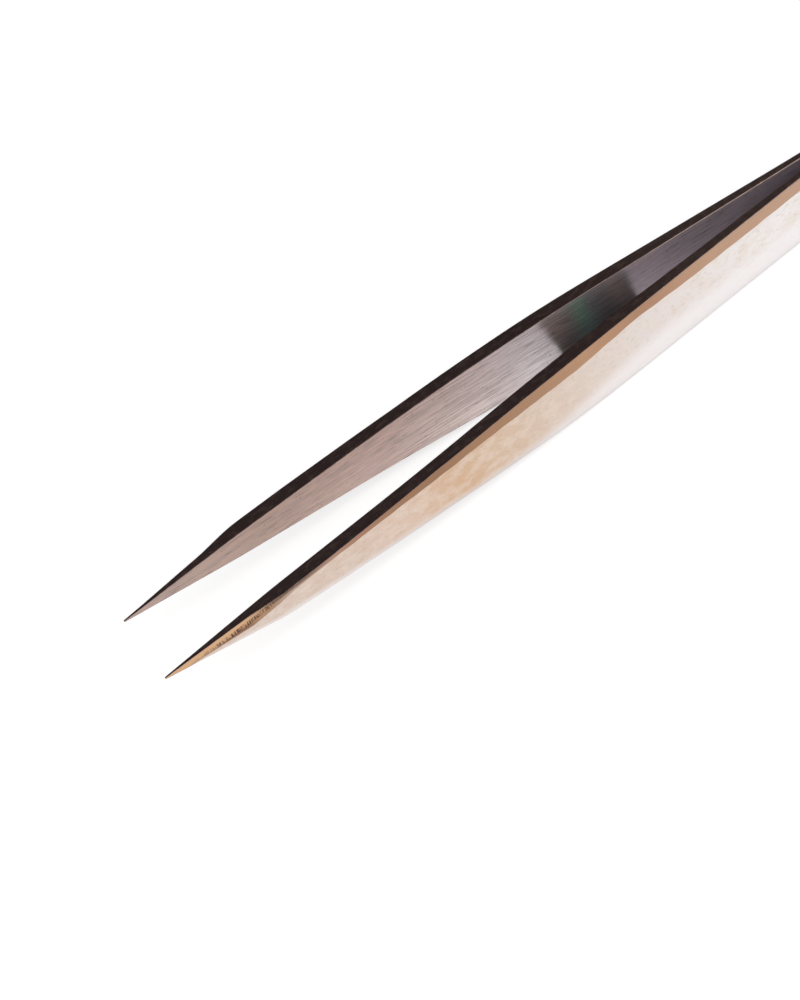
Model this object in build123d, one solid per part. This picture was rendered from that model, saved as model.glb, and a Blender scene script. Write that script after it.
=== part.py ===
from build123d import *
import os
from math import ceil, radians, tan

# Fine-pointed spring tweezers: two ground steel arms, joined flat to flat at the tail.
# They lie on the lower side edges of both arms, with the points towards -X and the tail towards +X.
# The gap between the arms opens along Y, +Z is up, and z = 0 is the surface that they lie on.
# A name that ends in _from_points is a distance along the tool, measured from the points.

# Length and spring of the tool
overall_length = 125.0
points_opening = 9.6            # clear gap between the points at rest
bend_from_points = 38.0         # where each arm turns in towards the tail
bend_opening = 7.75             # clear gap between the arms at that turn
bend_radius = 460.0
seam_length = 21.2              # the inner faces come together this far ahead of the tail's end
heel_radius = 240.0

# Thickness of one arm, across the gap
point_thickness = 0.26
shoulder_from_points = 15.2     # the taper of the point ends here
shoulder_thickness = 1.67
shoulder_softening = 25.0       # radius that blends the point into the arm, seen from above
belly_from_points = 57.0
belly_thickness = 2.05
thin_ahead_of_heel = 11.8       # the arm is down to its tail thickness this far ahead of the seam
tail_thickness = 1.2
thinning_radius = 300.0

# Width of one arm, from the lower side edge to the upper one
arm_width = 9.7
point_width = 0.16
shoulder_width = 3.67
shoulder_easing = 90.0          # radius that blends the point into the arm, seen from the side
flank_from_points = 55.0        # the widening flanks would reach the full width here
flank_radius = 290.0
tail_length = 28.0              # the arm slims over this length of its end
tail_width = 7.6
tail_easing = 260.0
tail_corner_radius = 2.2

# Ground facet on the upper outer corner of each point
facet_from_points = 11.5        # where it is broadest
facet_width = 1.37              # measured down the outer face
facet_depth = 0.3              # measured across the side edge
facet_at_tip = 0.09             # both ways, where it runs off the tip
facet_length = 17.5             # it fades into the bevel here

# Bevels along both long corners of the outer face, ground by hand
bevel_start_width = 0.57        # measured down the outer face
bevel_start_depth = 0.03        # measured across the side edge
widening_from_points = 30.0
deepening_length = 20.5         # from the facet to the bevel's working depth
bevel_depth = 0.36
broad_from_points = 58.0
broad_width = 1.5
pinch_from_points = 67.0        # the hand slipped here, and the bevel narrows
pinch_width = 0.85
pinch_fade = 8.0
tail_bevel_width = 1.25
tail_bevel_depth = 0.5

# Broken corners of the inner face, from behind the point to where the arms meet
break_run_in = 8.0
break_width = 0.12
break_start = 0.02

# Length of one grinding stroke along a curved corner, and room around the metal for the cuts
grinding_stroke = 4.6
clear_of_metal = 3.0

# The most of a straight run that the rounding at one of its ends may take
share_of_run = 0.48

# Places that follow from the sizes above
heel_from_points = overall_length - seam_length
thin_from_points = heel_from_points - thin_ahead_of_heel
tail_from_points = overall_length - tail_length
mid_width = arm_width / 2


def at(from_points):
    """The place along X of a distance from the points."""
    return from_points - overall_length / 2


def between(steps, from_points):
    """A size that changes evenly between the steps that are stated for it."""
    for (start, first), (end, last) in zip(steps, steps[1:]):
        if from_points <= end:
            return first + (last - first) * (from_points - start) / (end - start)
    return steps[-1][1]


half_gap = [
    (0, points_opening / 2),
    (bend_from_points, bend_opening / 2),
    (heel_from_points, 0),
    (overall_length, 0),
]
thickness = [
    (0, point_thickness),
    (shoulder_from_points, shoulder_thickness),
    (belly_from_points, belly_thickness),
    (thin_from_points, tail_thickness),
    (overall_length, tail_thickness),
]
half_width = [
    (0, point_width / 2),
    (shoulder_from_points, shoulder_width / 2),
    (flank_from_points, arm_width / 2),
    (tail_from_points, arm_width / 2),
    (overall_length, tail_width / 2),
]

# What is ground off the corners: how far each cut reaches down the face and across the side edge
facet_widths = [
    (0, facet_at_tip),
    (facet_from_points, facet_width),
    (facet_length, bevel_start_width),
]
facet_depths = [
    (0, facet_at_tip),
    (facet_from_points, facet_depth),
    (facet_length, bevel_start_depth),
]
bevel_widths = [
    (facet_length, bevel_start_width),
    (widening_from_points, bevel_start_width),
    (broad_from_points, broad_width),
    (pinch_from_points, pinch_width),
    (pinch_from_points + pinch_fade, tail_bevel_width),
    (overall_length, tail_bevel_width),
]
bevel_depths = [
    (facet_length, bevel_start_depth),
    (facet_length + deepening_length, bevel_depth),
    (overall_length, tail_bevel_depth),
]
breaks = [
    (shoulder_from_points, break_start),
    (shoulder_from_points + break_run_in, break_width),
    (heel_from_points, break_width),
    (heel_from_points + break_run_in, break_start),
]


def softened(corners, radii):
    """A line through the corners, each rounded as stated, or as its two runs leave room for."""
    fitting = []
    for before, corner, after, radius in zip(corners, corners[1:], corners[2:], radii):
        run_in, run_out = Vector(*corner) - Vector(*before), Vector(*after) - Vector(*corner)
        half_turn = radians(run_in.get_angle(run_out)) / 2
        room = share_of_run * min(run_in.length, run_out.length)
        fitting.append(min(radius, room / tan(half_turn)))
    return FilletPolyline(*corners, radius=fitting)


# The three lines that shape an arm: two seen from above, and one flank seen from the side
inner_line = softened([(at(place), gap) for place, gap in half_gap], [bend_radius, heel_radius])
outer_radii = {
    shoulder_from_points: shoulder_softening,
    bend_from_points: bend_radius + shoulder_thickness,
    belly_from_points: thinning_radius,
    thin_from_points: thinning_radius,
    heel_from_points: heel_radius - tail_thickness,
}
outer_line = softened(
    [
        (at(place), between(half_gap, place) + between(thickness, place))
        for place in [0, *sorted(outer_radii), overall_length]
    ],
    [outer_radii[place] for place in sorted(outer_radii)],
)
flank_line = softened(
    [(at(place), half) for place, half in half_width],
    [shoulder_easing, flank_radius, tail_easing],
)


def reading(line, from_points):
    """How far a line stands from its axis, at a distance from the points."""
    probe = Line((at(from_points), -arm_width), (at(from_points), arm_width))
    return line.intersect(probe)[0].Y


def bowed_blank():
    """The arm seen from above, bowed outwards and thinned, at its full width all along."""
    ends = [
        Line(inner_line @ 0, outer_line @ 0),
        Line(inner_line @ 1, outer_line @ 1),
    ]
    side = make_face([*inner_line.edges(), *outer_line.edges(), *ends])
    return extrude(side, amount=arm_width)


def side_outline():
    """The arm seen from the side: point, widening flanks, straight grip and slimmer tail."""
    lower_line = mirror(flank_line, about=Plane.XZ)
    ends = [
        Line(lower_line @ 0, flank_line @ 0),
        Line(lower_line @ 1, flank_line @ 1),
    ]
    face = make_face([*flank_line.edges(), *lower_line.edges(), *ends])
    face = fillet(face.vertices().group_by(Axis.X)[-1], tail_corner_radius)
    upright = Plane(origin=(0, 0, mid_width), x_dir=(1, 0, 0), z_dir=(0, -1, 0))
    return extrude(upright * face, amount=arm_width, both=True)


def strokes(*step_lists):
    """Every place where a cut changes, with more between them where they are far apart."""
    stops = sorted({place for steps in step_lists for place, _ in steps})
    places = stops[:1]
    for start, end in zip(stops, stops[1:]):
        count = ceil((end - start) / grinding_stroke)
        places += [start + (end - start) * stroke / count for stroke in range(1, count + 1)]
    return places


def corner_cutter(line, side, widths, depths):
    """What grinding takes off one upper long corner, side being +1 outside and -1 inside."""
    sections = []
    for place in strokes(widths, depths):
        corner = Vector(at(place), reading(line, place), mid_width + reading(flank_line, place))
        on_face = corner - Vector(0, 0, between(widths, place))
        on_edge = corner - Vector(0, side * between(depths, place), 0)
        along = (on_edge - on_face).normalized()
        outwards = Vector(0, side * along.Z, -side * along.Y)
        low, high = on_face - along * clear_of_metal, on_edge + along * clear_of_metal
        sections.append(
            make_face(
                Polyline(
                    low,
                    high,
                    high + outwards * clear_of_metal,
                    low + outwards * clear_of_metal,
                    close=True,
                )
            )
        )
    return loft(sections, ruled=True)


def right_arm():
    """The arm on the +Y side, as it lies at rest."""
    arm = bowed_blank() & side_outline()
    long_corners = [
        corner_cutter(outer_line, 1, bevel_widths, bevel_depths),
        corner_cutter(inner_line, -1, breaks, breaks),
    ]
    for cutter in long_corners:
        arm -= cutter
        arm -= mirror(cutter, about=Plane.XY.offset(mid_width))
    return arm - corner_cutter(outer_line, 1, facet_widths, facet_depths)


right = right_arm()
parts = {"right_arm": right, "left_arm": mirror(right, about=Plane.XZ)}

os.makedirs("parts", exist_ok=True)
for name, solid in parts.items():
    export_step(solid, f"parts/{name}.step")
    box = solid.bounding_box()
    print(name, "volume", round(solid.volume, 1), "from", box.min, "to", box.max)
print("centre of mass from the points", round(right.center(CenterOf.MASS).X + overall_length / 2, 2))
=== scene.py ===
# %% [markdown]
# # Needle-point tweezers on a studio table
# Fine-pointed steel tweezers are two ground blades, welded flat to flat at the tail.
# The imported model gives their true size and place. This lesson dresses them: each arm becomes a
# finely ground mesh with eased corners, and each kind of surface gets the finish that its last
# grinding or polishing step left on it. Everything is in metres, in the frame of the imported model.

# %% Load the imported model
from math import cos, pi, radians, sin, sqrt, tan

import bmesh
import bpy
from mathutils import Matrix, Vector


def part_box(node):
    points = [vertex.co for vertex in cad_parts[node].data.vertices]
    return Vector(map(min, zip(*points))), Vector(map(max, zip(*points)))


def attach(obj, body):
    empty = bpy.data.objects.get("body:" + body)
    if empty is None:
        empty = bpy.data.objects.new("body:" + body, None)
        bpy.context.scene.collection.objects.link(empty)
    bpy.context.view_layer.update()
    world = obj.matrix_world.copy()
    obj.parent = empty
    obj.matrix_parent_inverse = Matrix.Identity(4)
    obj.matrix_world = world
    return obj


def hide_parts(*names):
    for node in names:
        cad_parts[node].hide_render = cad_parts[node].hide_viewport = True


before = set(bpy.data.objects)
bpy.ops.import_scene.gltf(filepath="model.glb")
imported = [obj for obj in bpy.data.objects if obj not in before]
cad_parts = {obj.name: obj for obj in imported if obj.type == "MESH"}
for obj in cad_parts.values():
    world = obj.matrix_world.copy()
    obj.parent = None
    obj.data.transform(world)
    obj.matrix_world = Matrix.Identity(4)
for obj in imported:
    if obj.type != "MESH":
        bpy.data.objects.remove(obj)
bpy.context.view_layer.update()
print("packed nodes:", ", ".join(sorted(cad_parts)))

# %% [markdown]
# ## The sizes of an arm
# A blade maker describes an arm by what is measured along it: how far it stands from the middle
# of the tool, how thick it is and how wide it is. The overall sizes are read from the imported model.
# The others repeat the sizes of the source model, in millimetres, because this script can't read it.
# A name that ends in `_place` is a distance along the tool, measured from the points.

# %% Overall sizes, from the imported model
mm = 0.001
arm_low, arm_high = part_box("right_arm")
overall_length = (arm_high.x - arm_low.x) / mm
arm_width = (arm_high.z - arm_low.z) / mm
mid_height = (arm_high.z + arm_low.z) / 2 / mm
points_at = arm_low.x / mm
print(f"the tool is {overall_length:.1f} mm long and an arm is {arm_width:.1f} mm wide")

# %% Sizes along an arm
points_opening = 9.6
bend_place, bend_opening, bend_radius = 38.0, 7.75, 460.0
seam_length, heel_radius = 21.2, 240.0
point_thickness, shoulder_place, shoulder_thickness = 0.26, 15.2, 1.67
belly_place, belly_thickness = 57.0, 2.05
thin_ahead_of_heel, tail_thickness = 11.8, 1.2
shoulder_softening, thinning_radius = 25.0, 300.0
point_width, shoulder_width, shoulder_easing = 0.16, 3.67, 90.0
flank_place, flank_radius = 55.0, 290.0
tail_length, tail_width, tail_easing, tail_corner = 28.0, 7.6, 260.0, 2.2
heel_place = overall_length - seam_length
thin_place = heel_place - thin_ahead_of_heel
tail_place = overall_length - tail_length
share_of_run = 0.48

# %% [markdown]
# ## The three lines that shape an arm
# The inner face, the outer face and the flank are straight runs that the grinder blended into each
# other. A table of points would hide that, and a Bezier curve would wander off the straight runs.
# So each line is a function: straight runs, plus one small parabola at each blend, as wide as the
# radius of that blend makes it.


# %% Lines with blended corners
def between(steps, place):
    """A size that changes evenly between the steps that are stated for it."""
    for (start, first), (end, last) in zip(steps, steps[1:]):
        if place <= end:
            return first + (last - first) * (place - start) / (end - start)
    return steps[-1][1]


def blended(steps, radii):
    """The line through the steps as a function of the place, each turn eased by its radius."""
    runs = [end - start for (start, _), (end, _) in zip(steps, steps[1:])]
    slopes = [(last - first) / run for (_, first), (_, last), run in zip(steps, steps[1:], runs)]
    turns = []
    for (place, _), before, after, run_in, run_out, radius in zip(
        steps[1:], slopes, slopes[1:], runs, runs[1:], radii
    ):
        turn = after - before
        room = share_of_run * min(run_in, run_out)
        turns.append((place, turn, min(radius * abs(turn) / 2, room)))

    def line(place):
        height = between(steps, place)
        for corner, turn, reach in turns:
            inside = max(reach - abs(place - corner), 0)
            height += turn * inside**2 / (4 * reach)
        return height

    return line


half_gap = [
    (0, points_opening / 2),
    (bend_place, bend_opening / 2),
    (heel_place, 0),
    (overall_length, 0),
]
thickness = [
    (0, point_thickness),
    (shoulder_place, shoulder_thickness),
    (belly_place, belly_thickness),
    (thin_place, tail_thickness),
    (overall_length, tail_thickness),
]
turn_places = (shoulder_place, bend_place, belly_place, thin_place, heel_place)
outer_steps = [
    (place, between(half_gap, place) + between(thickness, place))
    for place in (0, *turn_places, overall_length)
]
half_width = [
    (0, point_width / 2),
    (shoulder_place, shoulder_width / 2),
    (flank_place, arm_width / 2),
    (tail_place, arm_width / 2),
    (overall_length, tail_width / 2),
]
inner_line = blended(half_gap, [bend_radius, heel_radius])
outer_line = blended(
    outer_steps,
    [
        shoulder_softening,
        bend_radius + shoulder_thickness,
        thinning_radius,
        thinning_radius,
        heel_radius - tail_thickness,
    ],
)
flank_line = blended(half_width, [shoulder_easing, flank_radius, tail_easing])
print(f"an arm is {outer_line(belly_place) - inner_line(belly_place):.2f} mm thick at its belly")

# %% [markdown]
# ## Bevels, facet and broken corners
# The long corners of the outer face are bevelled on a belt, by hand, so the bevel's lower line
# wavers a little and pinches in at one place. On the point the upper bevel gives way to a ground
# facet, which is broadest behind the point and fades into the bevel. The inner corners are only
# broken. Each cut is stated by how far it reaches down the face and across the side edge.
# Every corner keeps at least a hair's breadth of bevel, because no ground corner is truly sharp,
# and that hair is what catches the light.

# %% Sizes of the ground corners
hair, broken_width = 0.035, 0.06
facet_ends = 17.5
seam_run_in = 8.0
facet_widths = [(0, 0.08), (2.8, 0.68), (5, 0.78), (11.5, 1.37), (facet_ends, 0.57)]
facet_depths = [(0, 0.05), (2.8, 0.14), (11.5, 0.3), (16, 0.05), (facet_ends, 0.03)]
bevel_widths = [
    (facet_ends, 0.57),
    (30, 0.56),
    (42, 0.85),
    (57, 1.47),
    (66.5, 0.85),
    (75, 1.25),
    (overall_length, 1.25),
]
bevel_depths = [(facet_ends, 0.03), (23, 0.05), (38, 0.35), (overall_length, 0.5)]
break_widths = [
    (shoulder_place, hair),
    (68, hair),
    (82, broken_width),
    (heel_place, broken_width),
    (heel_place + seam_run_in, hair),
]
waver_lengths, waver_height, waver_run_in = (11.0, 4.7, 2.9), 0.02, 10.0


def held(steps, place):
    """A size that keeps its first value ahead of its first step."""
    return between(steps, max(place, steps[0][0]))


def upper_cut(place):
    """How far the upper outer corner is cut, down the face and across the edge."""
    if place < facet_ends:
        return between(facet_widths, place), between(facet_depths, place)
    waver = sum(sin(2 * pi * place / length + length) for length in waver_lengths)
    wavering = min((place - facet_ends) / waver_run_in, 1) * waver_height * waver
    return between(bevel_widths, place) + wavering, between(bevel_depths, place)


def lower_cut(place, half):
    """The same for the lower outer corner, which has no facet and is only broken on the point."""
    share = min(place / facet_ends, 1) ** 2
    width, depth = held(bevel_widths, place) * share, held(bevel_depths, place) * share
    least = min(hair, half / 2)
    return max(width, least), max(depth, least)


widest = max(facet_widths, key=lambda step: step[1])
print(f"the facet is {widest[1]:.2f} mm wide at {widest[0]:.1f} mm from the points")

# %% [markdown]
# ## One cross-section
# At any place the arm is a flat bar with eight corners. Each corner is eased by an arc, and beside
# each arc runs a support line close to it, so that the flats shade flat and only the corner shades
# round. The alternative, a Bevel modifier, can't follow a facet that runs out to nothing.
# A ring always has the same number of points, which lets neighbouring rings be joined face to face.

# %% The eight corners and how far each is eased
crisp, soft = 0.035, 0.08
soft_from, soft_to = 60.0, 74.0
top_softness = [(0, crisp), (soft_from, crisp), (soft_to, soft), (overall_length, soft)]
ridge_softness = [
    (0, 0.03),
    (4, 0.1),
    (14, 0.25),
    (20, 0.3),
    (27, 0.05),
    (soft_from, 0.08),
    (soft_to, 0.5),
    (overall_length, 0.5),
]


def tail_half_width(place):
    """Half the width of the arm, with the rounded corners of the tail."""
    half = flank_line(place)
    into_corner = place - (overall_length - tail_corner)
    if into_corner > 0:
        half -= tail_corner - sqrt(max(tail_corner**2 - into_corner**2, 0))
    return half


def corners(place):
    """The corners of the section, from the lower inner one round, with the easing of each."""
    inner, outer, half = inner_line(place), outer_line(place), tail_half_width(place)
    rounded_off = flank_line(place) - half
    upper, upper_depth = upper_cut(place)
    lower, lower_depth = lower_cut(place, half)
    upper, lower = max(upper - rounded_off, hair), max(lower - rounded_off, hair)
    broken = min(held(break_widths, place), half / 2, (outer - inner) / 4)
    top, ridge = between(top_softness, place), between(ridge_softness, place)
    return [
        (inner, broken - half, crisp),
        (inner, half - broken, crisp),
        (inner + broken, half, crisp),
        (outer - upper_depth, half, top),
        (outer, half - upper, ridge),
        (outer, lower - half, ridge),
        (outer - lower_depth, -half, top),
        (inner + broken, -half, crisp),
    ]


top_corner, ridge_corner = 3, 4
print(f"halfway along, the top corner is {corners(overall_length / 2)[top_corner][1]:.2f} mm up")

# %% From corners to a ring of points
arc_steps = 4
arc_share, support_share = 0.35, 0.2
support_gap = 0.06
flat_steps = (8, 1, 3, 3, 8, 2, 3, 1)
flat_finish = ("inner", "edge", "edge", "bevel", "outer", "outer", "edge", "edge")
corner_count = len(flat_finish)


def ring(place):
    """The points of the section at a place, as (across the gap, up from the middle)."""
    spots = [Vector((y, z)) for y, z, _ in corners(place)]
    easings = [easing for _, _, easing in corners(place)]
    sides = [after - spot for spot, after in zip(spots, spots[1:] + spots[:1])]
    lengths = [side.length for side in sides]
    ways = [side.normalized() for side in sides]
    legs = []
    for number, easing in enumerate(easings):
        turn = abs(ways[number - 1].angle_signed(ways[number]))
        room = arc_share * min(lengths[number - 1], lengths[number])
        legs.append(min(easing * tan(turn / 2), room))
    points = []
    for number, spot in enumerate(spots):
        entry = spot - ways[number - 1] * legs[number]
        leave = spot + ways[number] * legs[number]
        for step in range(arc_steps + 1):
            t = step / arc_steps
            points.append(entry * (1 - t) ** 2 + spot * 2 * t * (1 - t) + leave * t**2)
        following = (number + 1) % corner_count
        far = spots[following] - ways[number] * legs[following]
        gap = min(support_gap, (far - leave).length * support_share)
        first, last = leave + ways[number] * gap, far - ways[number] * gap
        for step in range(flat_steps[number] + 1):
            points.append(first.lerp(last, step / flat_steps[number]))
    return points


# %% Which finish each strip of the ring gets
finishes = ("inner", "outer", "bevel", "facet", "edge")
support_strips = 2


def strip_finishes():
    """The finish of the strip that starts at each point of a ring."""
    names = []
    for number in range(corner_count):
        around = {flat_finish[number - 1], flat_finish[number]}
        corner = next(name for name in ("edge", "bevel", "outer") if name in around)
        names += [corner] * arc_steps
        names += [flat_finish[number]] * (flat_steps[number] + support_strips)
    return names


print(len(strip_finishes()), "strips run the length of an arm")

# %% [markdown]
# ## Lofting the arm
# Rings are set close together where the shape changes fast: at the point and at the rounded tail.
# The two arms are mirror images, so one function makes both, and a mirrored arm has its faces
# turned over so that they still look outwards. Each point also remembers how far it lies below the
# top corner and below the ridge between facet and face, and how far down the face it is, from 0 to 1,
# because the finish changes with all three.

# %% Where the rings go
point_step, blade_step = 0.15, 0.25
point_ends = 22.0
blunt_point, blunt_tail = 0.1, 0.2
blunting_rings, tail_rings = 5, 24


def ring_places():
    """Distances from the points at which a ring is made."""
    turn = pi / 2 / blunting_rings
    places = [blunt_point * (1 - cos(step * turn)) for step in range(blunting_rings)]
    while places[-1] < point_ends:
        places.append(places[-1] + point_step)
    while places[-1] < overall_length - tail_corner - blade_step:
        places.append(places[-1] + blade_step)
    turn = pi / 2 / tail_rings
    for step in range(1, tail_rings + 1):
        places.append(overall_length - tail_corner * (1 - sin(step * turn)))
    return places


places = ring_places()
print(len(places), "rings per arm")


# %% The blunted point and the broken edge of the tail
smallest_ring, tail_depth_share = 0.15, 0.6


def shrunk(points, place):
    """The ring drawn in a little at the blunted point and the broken edge of the tail."""
    centre = sum(points, Vector((0, 0))) / len(points)
    to_tail = overall_length - place
    if place < blunt_point:
        keep = max(sqrt(1 - (1 - place / blunt_point) ** 2), smallest_ring)
        return [centre + (point - centre) * keep for point in points]
    if to_tail < blunt_tail:
        inset = blunt_tail * (1 - sqrt(1 - (1 - to_tail / blunt_tail) ** 2))
        reach = max(point.y - centre.y for point in points)
        depth = max(point.x - centre.x for point in points)
        thinner, narrower = 1 - inset * tail_depth_share / depth, 1 - inset / reach
        ways = [point - centre for point in points]
        return [centre + Vector((way.x * thinner, way.y * narrower)) for way in ways]
    return points


print(f"the point is blunted over its last {blunt_point} mm, the tail over {blunt_tail} mm")


# %% One ring of vertices
def add_ring(arm, place, side):
    """Adds a ring whose vertices remember where on the section they lie."""
    layers = arm.verts.layers.float
    top, ridge = corners(place)[top_corner][1], corners(place)[ridge_corner][1]
    row = []
    for point in shrunk(ring(place), place):
        x, y, z = points_at + place, side * point.x, mid_height + point.y
        vertex = arm.verts.new((x * mm, y * mm, z * mm))
        vertex[layers["below_top"]] = top - point.y
        vertex[layers["down_face"]] = (top - point.y) / (2 * top)
        vertex[layers["below_ridge"]] = ridge - point.y
        row.append(vertex)
    return row


# %% Join the rings into an arm
weld_within = 0.0002


def join_rings(arm, rings, side):
    """Joins neighbouring rings with faces, gives each its finish and closes both ends."""
    names = strip_finishes()
    for place, row, following in zip(places, rings, rings[1:]):
        for number, finish in enumerate(names):
            after = (number + 1) % len(names)
            loop = [row[number], row[after], following[after], following[number]]
            face = arm.faces.new(loop if side < 0 else loop[::-1])
            if finish == "bevel" and place < facet_ends:
                finish = "facet"
            face.material_index = finishes.index(finish)
            face.smooth = True
    for row, turned in ((rings[0], side < 0), (rings[-1], side > 0)):
        cap = arm.faces.new(row[::-1] if turned else row)
        cap.material_index = finishes.index("edge")


def make_arm(name, side):
    """Lofts one arm; side is +1 for the arm on the +Y side and -1 for its mirror image."""
    arm = bmesh.new()
    for layer in ("below_top", "down_face", "below_ridge"):
        arm.verts.layers.float.new(layer)
    join_rings(arm, [add_ring(arm, place, side) for place in places], side)
    bmesh.ops.remove_doubles(arm, verts=arm.verts, dist=weld_within * mm)
    mesh = bpy.data.meshes.new(name)
    arm.to_mesh(mesh)
    arm.free()
    piece = bpy.data.objects.new(name, mesh)
    bpy.context.scene.collection.objects.link(piece)
    return piece


far_arm = make_arm("far_arm", 1)
near_arm = make_arm("near_arm", -1)
for piece, node in ((far_arm, "right_arm"), (near_arm, "left_arm")):
    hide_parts(node)
    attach(piece, "root")
    print(piece.name, "has", len(piece.data.polygons), "faces")

# %% [markdown]
# ## A little shader arithmetic
# A finish is mostly arithmetic on places: how far along the tool, how far below the ridge, how
# cloudy the polish. Wiring that by hand hides the sum, so one small class wraps a socket and turns
# `+`, `-`, `*` and `/` into nodes. Any other node comes from its one method, `node`.


# %% The class that wraps a socket
class Wire:
    """A socket of a material, or the bare node tree to start from."""

    def __init__(self, tree, socket=None):
        self.tree = tree
        self.socket = socket

    def node(self, kind, settings=None, inputs=None, output=0):
        """Adds a node: its settings first, then its sockets, and wraps what comes out of it."""
        made = self.tree.nodes.new(kind)
        for name, value in (settings or {}).items():
            if name == "stops":
                stops = made.color_ramp.elements
                while len(stops) < len(value):
                    stops.new(1)
                for stop, (position, colour) in zip(stops, value):
                    stop.position, stop.color = position, colour
            else:
                setattr(made, name, value)
        for name, value in (inputs or {}).items():
            if isinstance(value, Wire):
                self.tree.links.new(value.socket, made.inputs[name])
            else:
                made.inputs[name].default_value = value
        return Wire(self.tree, made.outputs[output] if made.outputs else None)

    def maths(self, operation, *values):
        return self.node("ShaderNodeMath", {"operation": operation}, dict(enumerate(values)))

    def __add__(self, other):
        return self.maths("ADD", self, other)

    def __sub__(self, other):
        return self.maths("SUBTRACT", self, other)

    def __rsub__(self, other):
        return self.maths("SUBTRACT", other, self)

    def __mul__(self, other):
        return self.maths("MULTIPLY", self, other)

    def __truediv__(self, other):
        return self.maths("DIVIDE", self, other)

    __radd__ = __add__
    __rmul__ = __mul__


# %% Helpers for places, clouds and colours
def tinted(red, green, blue):
    return (red, green, blue, 1.0)


def start(name):
    """A new empty material, wrapped so that nodes can be added to it."""
    material = bpy.data.materials.new(name)
    material.use_nodes = True
    material.node_tree.nodes.clear()
    return material, Wire(material.node_tree)


def places_on(blank):
    """Where a surface point lies, in millimetres: as a vector, from the points and from mid height."""
    coordinates = blank.node("ShaderNodeTexCoord", output=3)
    vector = coordinates.node(
        "ShaderNodeVectorMath", {"operation": "SCALE"}, {0: coordinates, "Scale": 1 / mm}
    )
    x = vector.node("ShaderNodeSeparateXYZ", inputs={0: vector}, output=0)
    z = vector.node("ShaderNodeSeparateXYZ", inputs={0: vector}, output=2)
    return vector, x - points_at, z - mid_height


def remembered(blank, name):
    """One of the numbers that the mesh remembers at each point."""
    return blank.node("ShaderNodeAttribute", {"attribute_name": name}, output=2)


def rising(value, low, high):
    """0 below low, 1 above high, and a smooth step between them."""
    inputs = {"Value": value, "From Min": low, "From Max": high}
    return value.node("ShaderNodeMapRange", {"interpolation_type": "SMOOTHSTEP"}, inputs)


def clouds(vector, grain, detail=2.0):
    """Noise between 0 and 1 whose grain is given in millimetres along X, Y and Z."""
    scale = tuple(1 / size for size in grain)
    squeezed = vector.node("ShaderNodeVectorMath", {"operation": "MULTIPLY"}, {0: vector, 1: scale})
    inputs = {"Vector": squeezed, "Scale": 1.0, "Detail": detail, "Roughness": 0.6}
    return squeezed.node("ShaderNodeTexNoise", inputs=inputs)


def mixed(share, first, second):
    """The first colour where share is 0, the second where it is 1."""
    inputs = {0: share, 6: first, 7: second}
    return share.node("ShaderNodeMix", {"data_type": "RGBA"}, inputs, output=2)


def along_tool(distance, stops):
    """A colour that changes along the tool, from stops of (distance from the points, colour)."""
    share = distance / overall_length
    return share.node(
        "ShaderNodeValToRGB",
        {"stops": [(place / overall_length, colour) for place, colour in stops]},
        {"Fac": share},
    )


def bumped(height, depth):
    """A surface that stands up by depth metres where height is 1."""
    inputs = {"Height": height, "Strength": 1.0, "Distance": depth}
    return height.node("ShaderNodeBump", inputs=inputs)


quarter_turn = 0.25


def steel(material, blank, colour, roughness, normal, anisotropy=0.0):
    """Finishes a material as bare metal. Grooves run lengthwise, so a sheen spreads across them."""
    rotation = quarter_turn if anisotropy else 0.0
    inputs = {"Base Color": colour, "Metallic": 1.0, "Roughness": roughness, "Normal": normal}
    inputs.update({"Anisotropic": anisotropy, "Anisotropic Rotation": rotation})
    metal = blank.node("ShaderNodeBsdfPrincipled", inputs=inputs)
    metal.node("ShaderNodeOutputMaterial", inputs={"Surface": metal})
    print("finish:", material.name)
    return material


# %% [markdown]
# ## The outer face
# The outside is polished last. Its warm champagne colour is partly the steel's own tint and partly
# painted reflection of the table, which also pales it towards the tail and towards the lower corner.
# A polished face still shows faint clouds, where the buff pressed harder, and right beside the facet
# of the point it is browned by the heat of grinding.

# %% Polished outer face
# Painted reflection: these tones are partly the steel's own warm tint and partly the mirrored table,
# paling towards the tail.
bloom_and_reflection_tones = [
    (0, tinted(0.76, 0.58, 0.46)),
    (12, tinted(0.75, 0.62, 0.54)),
    (25, tinted(0.72, 0.57, 0.48)),
    (33, tinted(0.75, 0.57, 0.46)),
    (40, tinted(0.70, 0.48, 0.32)),
    (52, tinted(0.73, 0.59, 0.49)),
    (66, tinted(0.81, 0.74, 0.71)),
    (84, tinted(0.91, 0.87, 0.86)),
    (120, tinted(0.89, 0.84, 0.82)),
]
buffed, smoky = tinted(0.84, 0.74, 0.66), tinted(0.52, 0.36, 0.24)
# The first colour on the next line is a painted reflection of the bright table near the foot of the
# face.
pale_table_reflection, heat_brown = tinted(0.95, 0.92, 0.93), tinted(0.36, 0.22, 0.15)
polish_depth, polish_sheen = 0.6e-6, 0.4


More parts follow.
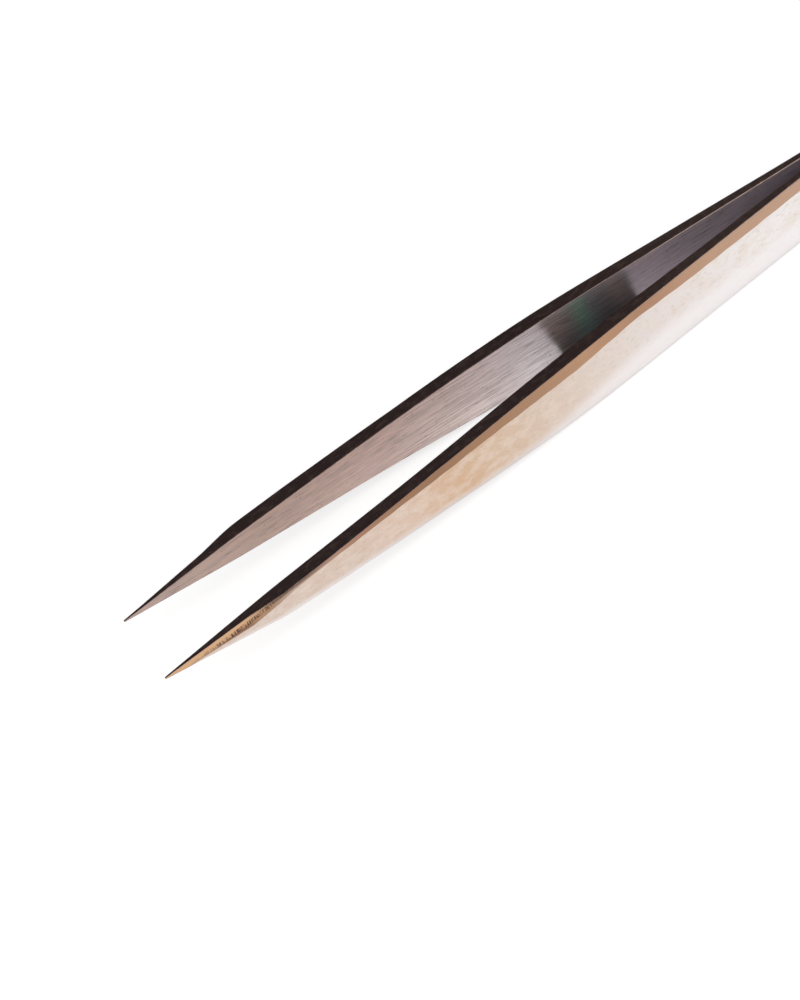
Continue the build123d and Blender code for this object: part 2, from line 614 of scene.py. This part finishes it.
def polished_outer_face():
    material, blank = start("polished_outer_face")
    vector, distance, _ = places_on(blank)
    bloom_and_reflection = along_tool(distance, bloom_and_reflection_tones)
    cloudy = clouds(vector, (2.2, 5.0, 1.5), 5.0)
    bloom_and_reflection = mixed(rising(cloudy, 0.40, 0.64) * 0.45, bloom_and_reflection, buffed)
    mottled = clouds(vector, (0.7, 5.0, 0.45), 3.0)
    bloom_and_reflection = mixed(rising(mottled, 0.52, 0.66) * 0.16, bloom_and_reflection, smoky)
    # Painted reflection of the bright table: the face pales towards the lower corner, and higher up
    # further back.
    table_reflection_share = remembered(blank, "down_face") + 0.3 * rising(distance, 45.0, 70.0)
    bloom_and_reflection = mixed(rising(table_reflection_share, 0.74, 1.04) * 0.75, bloom_and_reflection, pale_table_reflection)
    beside_ridge = 1 - rising(remembered(blank, "below_ridge"), 0.0, 0.22)
    darkened = beside_ridge * (1 - rising(distance, 16.0, 20.0))
    bloom_and_reflection = mixed(darkened, bloom_and_reflection, heat_brown)
    streaks = clouds(vector, (9.0, 0.4, 0.09), 3.0)
    roughness = 0.16 + 0.06 * cloudy + 0.03 * streaks
    return steel(material, blank, bloom_and_reflection, roughness, bumped(streaks, polish_depth), polish_sheen)


# %% [markdown]
# ## The bevels and the facet
# The bevels come off a finer belt. Their tan tone is partly the steel's own tint and partly painted
# reflection of warm surroundings, and near the point they are darker towards the top corner. The facet
# is ground across the point by hand. Its upper half is bright gold, and its lower half, where the
# wheel bit, is browner, with a row of short cross strokes between the two. These gold and brown tones
# are partly the steel's own tint and partly painted reflection. Towards the bevel the gold darkens
# near the top corner and the row climbs to the top corner, so both finishes share one colour there,
# and no seam shows.

# %% Tan bevels, partly painted reflection
# Painted reflection: the tan tones are partly the steel's own tint and partly warm surroundings
# mirrored in the bevels.
tan_and_reflection_tones = [
    (16, tinted(0.56, 0.41, 0.33)),
    (26, tinted(0.45, 0.25, 0.17)),
    (36, tinted(0.39, 0.22, 0.13)),
    (52, tinted(0.48, 0.29, 0.18)),
    (59, tinted(0.57, 0.34, 0.21)),
    (68, tinted(0.53, 0.31, 0.20)),
    (78, tinted(0.62, 0.40, 0.28)),
    (120, tinted(0.64, 0.45, 0.35)),
]
belt_brown, top_corner_dark = tinted(0.34, 0.20, 0.13), tinted(0.13, 0.085, 0.06)
belt_depth = 0.8e-6


def near_top_corner(blank):
    """1 at the top corner of the arm, and 0 a little more than half a millimetre below it."""
    return 1 - rising(remembered(blank, "below_top"), 0.1, 0.65)


def belt_ground_bevel():
    material, blank = start("belt_ground_bevel")
    vector, distance, _ = places_on(blank)
    streaks = clouds(vector, (5.0, 0.5, 0.12), 3.0)
    tan_and_reflection = mixed(streaks * 0.35, along_tool(distance, tan_and_reflection_tones), belt_brown)
    # Near the point the bevel is darker towards its top corner.
    darkened = near_top_corner(blank) * (1 - rising(distance, 18.5, 24.0))
    tan_and_reflection = mixed(darkened * 0.85, tan_and_reflection, top_corner_dark)
    roughness = 0.2 + 0.08 * streaks
    return steel(material, blank, tan_and_reflection, roughness, bumped(streaks, belt_depth))


# %% Gold facet with cross strokes, partly painted reflection
# Painted reflection: the gold and brown of the facet are partly the steel's own tint and partly
# reflection laid into the colour.
gold_and_reflection, brown_and_reflection = tinted(0.74, 0.46, 0.27), tinted(0.30, 0.165, 0.105)
stroke_brown, stroke_depth = tinted(0.10, 0.055, 0.04), 2e-6
row_lowest, row_climb = 0.16, 0.56


def hand_ground_facet():
    material, blank = start("hand_ground_facet")
    vector, distance, _ = places_on(blank)
    below_top = remembered(blank, "below_top")
    strokes = clouds(vector, (0.14, 3.0, 0.8), 2.0)
    patchy = clouds(vector, (1.6, 3.0, 1.0), 1.0)
    ragged = below_top + (patchy - 0.5) * 0.3
    below_row = ragged - row_lowest + row_climb * rising(distance, 10.5, 16.5)
    darkened = rising(below_row, 0.42, 0.8) * (0.35 + 0.65 * rising(distance, 5.0, 9.0))
    darkened = darkened * (1 - 0.5 * rising(distance, 10.5, 13.0))
    row = rising(below_row, 0.22, 0.38) * (1 - rising(below_row, 0.72, 0.95))
    bitten = rising(strokes, 0.43, 0.54) * row * rising(distance, 2.0, 9.0)
    gold = mixed(darkened, gold_and_reflection, brown_and_reflection)
    gold = mixed(bitten * 0.9, gold, stroke_brown)
    dimming = rising(distance, 10.0, 16.0) * (0.3 + 0.7 * near_top_corner(blank))
    gold = mixed(dimming * 0.9, gold, top_corner_dark)
    fading = (1 - near_top_corner(blank)) * rising(distance, 13.5, facet_ends)
    gold = mixed(fading, gold, tan_and_reflection_tones[0][1])
    relief = bumped(strokes * row, stroke_depth)
    return steel(material, blank, gold, 0.22 + 0.1 * strokes, relief)


# %% [markdown]
# ## The inner face and the side edges
# The inner face is brushed lengthwise and left so, because a brushed face grips. Its grooves are long
# and fine: the sheen spreads across them, which is what anisotropy does, and single deeper scratches
# and a few pits break it up. Its tone along the tool is painted reflection of the shaded table in the
# gap: brightened towards the middle and lilac behind it. The side edges come straight off the
# grinding wheel; their dark tone is partly their own and partly painted reflection of the dark room.

# %% Brushed inner face
# Painted reflection: these tones follow the shaded table that the inner face mirrors in the gap,
# brightened towards the middle and lilac behind it.
painted_gap_reflection_tones = [
    (0, tinted(0.61, 0.45, 0.39)),
    (20, tinted(0.63, 0.46, 0.39)),
    (35, tinted(0.79, 0.60, 0.54)),
    (45, tinted(0.90, 0.76, 0.73)),
    (55, tinted(0.99, 0.93, 0.95)),
    (70, tinted(0.72, 0.64, 0.70)),
    (76, tinted(0.60, 0.54, 0.59)),
    (90, tinted(0.57, 0.51, 0.57)),
    (120, tinted(0.60, 0.54, 0.60)),
]
groove, scratch, pit = tinted(0.42, 0.35, 0.34), tinted(0.18, 0.14, 0.14), tinted(0.08, 0.06, 0.06)
brush_depth, brush_sheen = 2.4e-6, 0.85


def brushed_inner_face():
    material, blank = start("brushed_inner_face")
    vector, distance, _ = places_on(blank)
    brushing = clouds(vector, (5.0, 1.0, 0.17), 3.0)
    scratches = clouds(vector, (3.0, 1.0, 0.11), 2.0)
    pits = clouds(vector, (0.32, 1.0, 0.2), 1.0)
    tone = along_tool(distance, painted_gap_reflection_tones)
    tone = mixed(rising(brushing, 0.40, 0.62) * 0.5, tone, groove)
    scratched = rising(scratches, 0.57, 0.70) * 0.7
    tone = mixed(scratched, tone, scratch)
    tone = mixed(rising(pits, 0.73, 0.77), tone, pit)
    relief = bumped(brushing - scratched * 0.5, brush_depth)
    return steel(material, blank, tone, 0.34 + 0.08 * brushing, relief, brush_sheen)


# %% Dark side edges, partly painted reflection
# Painted reflection: these edge tones are darker than bare steel, partly standing in for the dark room
# the edges mirror.
edge_and_dark_reflection_tones = [(55, tinted(0.29, 0.21, 0.20)), (75, tinted(0.40, 0.30, 0.27))]
stroke_dark, worn_brown = tinted(0.12, 0.09, 0.09), tinted(0.62, 0.47, 0.40)
bright_speck, wheel_depth = tinted(0.9, 0.85, 0.8), 1.6e-6


def wheel_ground_edge():
    material, blank = start("wheel_ground_edge")
    vector, distance, _ = places_on(blank)
    strokes = clouds(vector, (3.0, 0.12, 1.0), 3.0)
    specks = clouds(vector, (0.24, 0.2, 0.2), 1.0)
    mottled = clouds(vector, (1.3, 0.5, 0.8), 3.0)
    tone = along_tool(distance, edge_and_dark_reflection_tones)
    tone = mixed(rising(strokes, 0.40, 0.75) * 0.45, tone, stroke_dark)
    tone = mixed(rising(mottled, 0.46, 0.66) * 0.45, tone, worn_brown)
    tone = mixed(rising(specks, 0.68, 0.78) * 0.6, tone, bright_speck)
    roughness = 0.24 + 0.16 * strokes
    return steel(material, blank, tone, roughness, bumped(strokes, wheel_depth))


# %% Make the finishes and give them to both arms
makers = {
    "inner": brushed_inner_face,
    "outer": polished_outer_face,
    "bevel": belt_ground_bevel,
    "facet": hand_ground_facet,
    "edge": wheel_ground_edge,
}
made_finishes = [makers[finish]() for finish in finishes]
for piece in (far_arm, near_arm):
    for material in made_finishes:
        piece.data.materials.append(material)

# %% [markdown]
# ## The table
# The table is a plain pale sheet, and it holds the shadow of the tool. The eye, and the mirrors of
# polished steel, get a part of its white straight from it, so that it reads as a bright background
# and the shadow stays faint. Both parts together come to about the same white in the open.

# %% The pale table
table_reach = 0.6
true_white, seen_white = 0.92, 1.06
eye_share, mirror_share = 0.74, 0.46


def grey(value):
    return tinted(value, value, value)


def pale_table():
    material, blank = start("pale_table")
    eye = blank.node("ShaderNodeLightPath", output="Is Camera Ray")
    mirrors = blank.node("ShaderNodeLightPath", output="Is Glossy Ray")
    lit = mixed(mirrors, grey(true_white), grey(true_white - mirror_share))
    lit = mixed(eye, lit, grey(seen_white - eye_share))
    own = mixed(mirrors, grey(0), grey(mirror_share))
    own = mixed(eye, own, grey(eye_share))
    inputs = {"Base Color": lit, "Roughness": 0.9, "Specular IOR Level": 0.0}
    inputs.update({"Emission Color": own, "Emission Strength": 1.0})
    sheet = blank.node("ShaderNodeBsdfPrincipled", inputs=inputs)
    sheet.node("ShaderNodeOutputMaterial", inputs={"Surface": sheet})
    return material


def flat_card(name, spots, material):
    """A flat sheet through four spots, given in metres."""
    mesh = bpy.data.meshes.new(name)
    mesh.from_pydata(spots, [], [(0, 1, 2, 3)])
    mesh.materials.append(material)
    card = bpy.data.objects.new(name, mesh)
    bpy.context.scene.collection.objects.link(card)
    return card


table_corners = ((-1, -1), (1, -1), (1, 1), (-1, 1))
table_spots = [(x * table_reach, y * table_reach, 0) for x, y in table_corners]
flat_card("table", table_spots, pale_table())
print("the table reaches", table_reach, "m each way")

# %% [markdown]
# ## A glowing card that paints a reflection in the gap
# Bright steel needs something dark to mirror, or it looks like plaster. A dark, slightly coloured
# glowing card stands on the table between the arms, halfway along the tool, with a foot on either
# side. It is not a lamp and has no other work than to paint a reflection: a dark band with a green
# glint across the brushed inner faces. Only mirrors see it, and its tones are given as light, so that
# both arms mirror the same band. The table stays plain.

# %% The card for the painted reflection
strip_from, strip_to = 58.3, 69.0
strip_height, strip_foot_height, strip_lean = 9.6, 0.05, 1.6
lower_tones_end, upper_tones_start = -2.3, 0.2
upper_tones = [
    (59.3, tinted(0.090, 0.056, 0.040)),
    (60.9, tinted(0.040, 0.034, 0.029)),
    (61.9, tinted(0.016, 0.095, 0.044)),
    (62.9, tinted(0.014, 0.062, 0.036)),
    (63.7, tinted(0.014, 0.020, 0.020)),
    (65.0, tinted(0.016, 0.014, 0.016)),
    (66.1, tinted(0.024, 0.016, 0.013)),
    (67.0, tinted(0.075, 0.047, 0.032)),
    (68.4, tinted(0.031, 0.029, 0.029)),
]
lower_tones = [
    (59.1, tinted(0.018, 0.013, 0.013)),
    (60.3, tinted(0.013, 0.010, 0.010)),
    (61.5, tinted(0.010, 0.022, 0.020)),
    (62.8, tinted(0.008, 0.024, 0.022)),
    (64.2, tinted(0.008, 0.009, 0.012)),
    (65.5, tinted(0.003, 0.002, 0.003)),
    (66.9, tinted(0.020, 0.018, 0.018)),
]


# Painted reflection: an emitting card, not a lamp, that only mirrors see; its tones show as a dark
# band with a green glint on the inner faces.
def painted_reflection_card():
    material, blank = start("painted_reflection_card")
    _, distance, height = places_on(blank)
    upper, lower = along_tool(distance, upper_tones), along_tool(distance, lower_tones)
    tone = mixed(rising(height, lower_tones_end, upper_tones_start), lower, upper)
    glow = blank.node("ShaderNodeEmission", inputs={"Color": tone})
    glow.node("ShaderNodeOutputMaterial", inputs={"Surface": glow})
    return material


def strip_spot(place, across, height):
    """A spot given by its distance from the points, its share of the half gap and its height."""
    return ((points_at + place) * mm, across * inner_line(place) * mm, height * mm)


foot_spots = [
    strip_spot(place, across, strip_foot_height)
    for place, across in ((strip_from, -1), (strip_to, -1), (strip_to, 1), (strip_from, 1))
]
wall_spots = [
    strip_spot(place, 0, height)
    for place, height in (
        (strip_from, strip_foot_height),
        (strip_to, strip_foot_height),
        (strip_to, strip_height),
        (strip_from - strip_lean, strip_height),
    )
]
reflection_card = painted_reflection_card()
for name, spots in (("strip_foot", foot_spots), ("strip_wall", wall_spots)):
    sheet = flat_card(name, spots, reflection_card)
    sheet.visible_camera = False
    sheet.visible_diffuse = False
    sheet.visible_shadow = False
print("the strip is", strip_to - strip_from, "mm long")

# %% [markdown]
# ## Light
# One large soft box hangs over the front of the table, and two stand in line with the tool, so that
# light runs into the gap between the arms. The room behind is dark. The side edges mirror that
# darkness, which is why they look near black between two bright faces.

# %% Soft boxes and the room
room_in_front, room_behind = tinted(0.75, 0.72, 0.70), tinted(0.035, 0.026, 0.027)
front_ends, behind_starts = -0.35, 0.3


def soft_box(name, place, size, power):
    lamp = bpy.data.lights.new(name, "AREA")
    lamp.shape = "DISK"
    lamp.size = size
    lamp.energy = power
    holder = bpy.data.objects.new(name, lamp)
    holder.location = place
    holder.rotation_euler = (-Vector(place)).to_track_quat("-Z", "Y").to_euler()
    bpy.context.scene.collection.objects.link(holder)
    print(f"{name}: {power} W")


def dim_room():
    world = bpy.data.worlds.new("room")
    world.use_nodes = True
    world.node_tree.nodes.clear()
    blank = Wire(world.node_tree)
    way = blank.node("ShaderNodeTexCoord", output=0)
    y = way.node("ShaderNodeSeparateXYZ", inputs={0: way}, output=1)
    eye = blank.node("ShaderNodeLightPath", output="Is Camera Ray")
    behind = rising(y, front_ends, behind_starts)
    tone = mixed(behind, room_in_front, room_behind)
    tone = mixed(eye, tone, grey(1))
    light = tone.node("ShaderNodeBackground", inputs={"Color": tone, "Strength": 1.0})
    light.node("ShaderNodeOutputWorld", inputs={"Surface": light})
    bpy.context.scene.world = world


soft_box("top_box", (-0.1, -0.45, 0.95), 1.2, 2.5)
soft_box("left_box", (-0.8, 0.0, 0.45), 0.5, 4.2)
soft_box("right_box", (0.8, 0.0, 0.5), 0.5, 3.6)
dim_room()

# %% [markdown]
# ## The camera
# The camera looks down at the tool from the front and is rolled, so that the tool runs up to the
# right and leaves the picture before its tail. Its place is worked out from the angles, as a
# photographer would set a tripod head.

# %% Camera
camera_height_angle, camera_turn, camera_roll = radians(53.0), radians(-7.634), radians(28.595)
camera_distance = 620.0
pixels_per_mm = 8.888
aim_along, aim_up = 33.469, -2.527
picture_height, sensor_height = 1000, 36.0
nearest_seen = 0.01
toward = Vector(
    (
        sin(camera_turn) * cos(camera_height_angle),
        -cos(camera_turn) * cos(camera_height_angle),
        sin(camera_height_angle),
    )
)
right = Vector((cos(camera_turn), sin(camera_turn), 0))
up = toward.cross(right)
aim = Vector((points_at + aim_along, 0, mid_height)) + up * aim_up
camera_data = bpy.data.cameras.new("camera")
camera_data.sensor_fit = "VERTICAL"
camera_data.sensor_height = sensor_height
camera_data.lens = pixels_per_mm * camera_distance * sensor_height / picture_height
camera_data.clip_start = nearest_seen
camera = bpy.data.objects.new("camera", camera_data)
rolled_right = right * cos(camera_roll) - up * sin(camera_roll)
rolled_up = right * sin(camera_roll) + up * cos(camera_roll)
camera.matrix_world = Matrix.Translation((aim + toward * camera_distance) * mm) @ Matrix(
    (rolled_right, rolled_up, toward)
).transposed().to_4x4()
bpy.context.scene.collection.objects.link(camera)
bpy.context.scene.camera = camera
bpy.context.scene.view_settings.view_transform = "Standard"
print(f"the lens is {camera_data.lens:.0f} mm")
